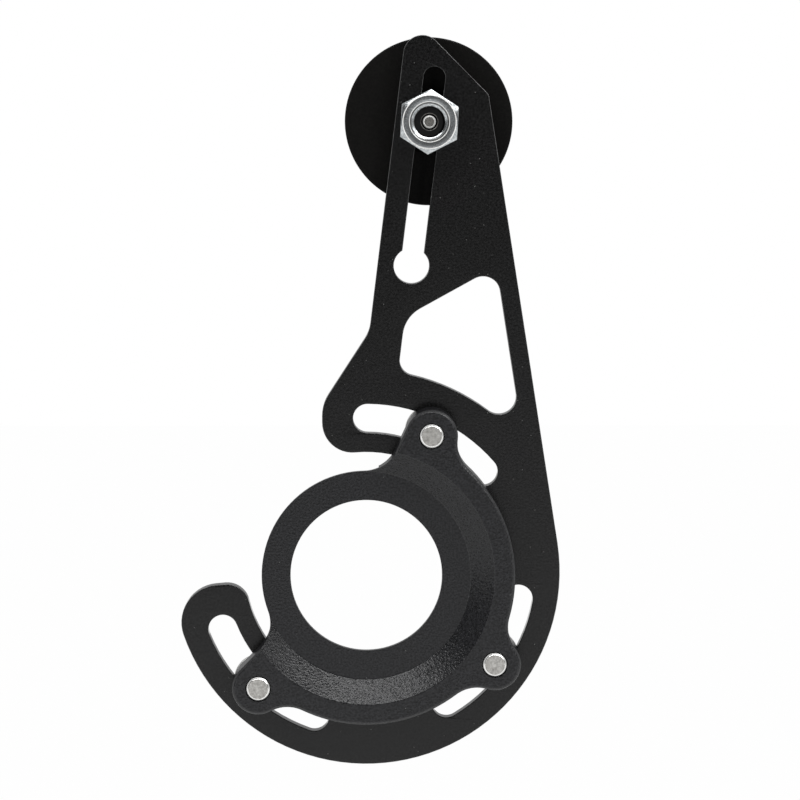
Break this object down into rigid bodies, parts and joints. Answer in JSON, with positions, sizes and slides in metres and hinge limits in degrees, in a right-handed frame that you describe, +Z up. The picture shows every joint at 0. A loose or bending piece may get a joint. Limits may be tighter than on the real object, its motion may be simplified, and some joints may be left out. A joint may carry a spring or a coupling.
{
  "type": "bicycle chain guide",
  "caption": "Bicycle chain guide: dished bottom bracket adapter, slotted hook-shaped back plate with an arm, and a grooved chain roller on a stud that slides in the arm.",
  "frame": {"origin": "centre of the bottom bracket bore, on the face that seats on the frame's shell", "axes": "+Y along the crank axle from the frame to the chainring side, +Z up the plate towards the roller, +X to the right as seen from the frame side"},
  "size_m": [0.0877, 0.0349, 0.1688],
  "materials": {
    "black_anodised": "satin black anodised",
    "blasted_black": "bead blasted, black anodised",
    "bolt_steel": "zinc plated",
    "washer_steel": "zinc plated",
    "black_steel": "black oxide",
    "zinc_steel": "zinc plated, tumbled",
    "screw_steel": "zinc plated",
    "bearing_steel": "ground",
    "roller_nylon": "turned black nylon",
    "seal_rubber": "moulded"
  },
  "bodies": {
    "adapter": {"bb_adapter": "blasted_black", "mount_bolts": "bolt_steel", "mount_washers": "washer_steel"},
    "plate": {"back_plate": "black_anodised"},
    "roller_carrier": {"roller_stud": "black_steel", "axle_nut": "zinc_steel", "roller_screw": "screw_steel", "screw_washer": "washer_steel", "bearing_spacer": "bearing_steel", "front_bearing_inner_race": "bearing_steel", "back_bearing_inner_race": "bearing_steel"},
    "roller": {"chain_roller": "roller_nylon", "front_bearing_outer_race": "bearing_steel", "back_bearing_outer_race": "bearing_steel", "front_bearing_seal": "seal_rubber", "back_bearing_seal": "seal_rubber"}
  },
  "joints": [
    {"name": "plate_swing", "type": "hinge", "parent": "adapter", "child": "plate", "pos_m": [0, 0, 0], "axis": [0, 1, 0], "range_deg": [-24, 24]},
    {"name": "roller_adjust", "type": "slide", "parent": "plate", "child": "roller_carrier", "axis": [0.121, 0, 0.9927], "range_m": [-0.029, 0.0075]},
    {"name": "roller_spin", "type": "hinge", "parent": "roller_carrier", "child": "roller", "pos_m": [0.01449, 0, 0.1042], "axis": [0, 1, 0], "continuous": true}
  ]
}
